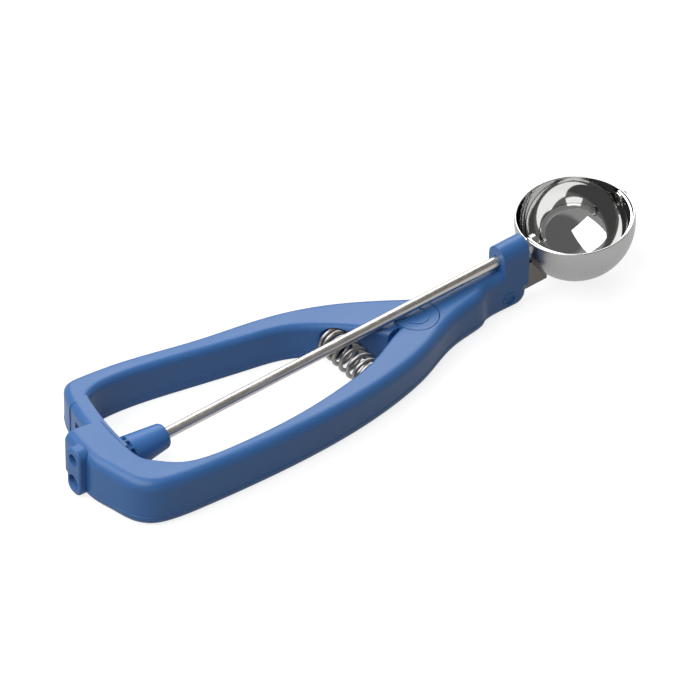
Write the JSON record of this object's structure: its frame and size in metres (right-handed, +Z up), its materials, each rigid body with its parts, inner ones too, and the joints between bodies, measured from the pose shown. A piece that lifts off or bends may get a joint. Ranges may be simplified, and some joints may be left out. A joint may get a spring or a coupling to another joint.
{
  "type": "lever ice cream scoop",
  "caption": "Squeeze-handle ice cream scoop: two hinged plastic arms drive a rack and pinion that turns a scraper inside a round steel bowl.",
  "frame": {"origin": "centre of the handle's pivot on the flat underside of the handle", "axes": "+X forwards to the bowl, +Z up towards the bowl's open side, +Y towards the moving arm"},
  "size_m": [0.2337, 0.0677, 0.0284],
  "materials": {
    "blue_plastic": "satin moulded blue plastic",
    "blue_pinion": "satin moulded blue plastic",
    "blue_trim": "satin moulded blue plastic",
    "rod_steel": "bright drawn stainless rod",
    "bowl_steel": "stainless, satin outside and polished inside",
    "sheet_steel": "stainless sheet",
    "blade_steel": "polished stainless strip",
    "fitting_steel": "turned stainless",
    "spring_steel": "bright spring wire",
    "screw_steel": "plain stainless",
    "bush_plastic": "natural acetal"
  },
  "bodies": {
    "root": {"near_handle": "blue_plastic", "end_plate": "blue_trim", "pin_plugs": "blue_trim", "bowl": "bowl_steel", "shank": "sheet_steel", "scraper_rivet": "fitting_steel", "bowl_ferrule": "fitting_steel", "return_spring": "spring_steel", "shank_pin": "screw_steel", "end_plate_pin": "screw_steel", "neck_bush": "bush_plastic"},
    "lever": {"far_handle": "blue_plastic", "pivot_bush": "screw_steel", "pivot_washer": "screw_steel", "pivot_screw": "screw_steel"},
    "drive": {"rod": "rod_steel", "drive_pinion": "blue_pinion", "pinion_pin": "screw_steel", "scraper_blade": "blade_steel", "scraper_hub": "fitting_steel"}
  },
  "joints": [
    {"name": "handle_squeeze", "type": "hinge", "parent": "root", "child": "lever", "pos_m": [0, 0, 0], "axis": [0, 0, 1], "range_deg": [0, 7.5], "stiffness_Nm_per_rad": 2.4, "springref_deg": -11.46, "deforming": ["return_spring"]},
    {"name": "scraper_turn", "type": "hinge", "parent": "root", "child": "drive", "pos_m": [0.07051, 0.0023, 0.02397], "axis": [0.9962, 0, 0.0872], "range_deg": [0, 170]}
  ],
  "couplings": [
    {"joint": "scraper_turn", "follows": "handle_squeeze", "ratio": 22.545}
  ]
}
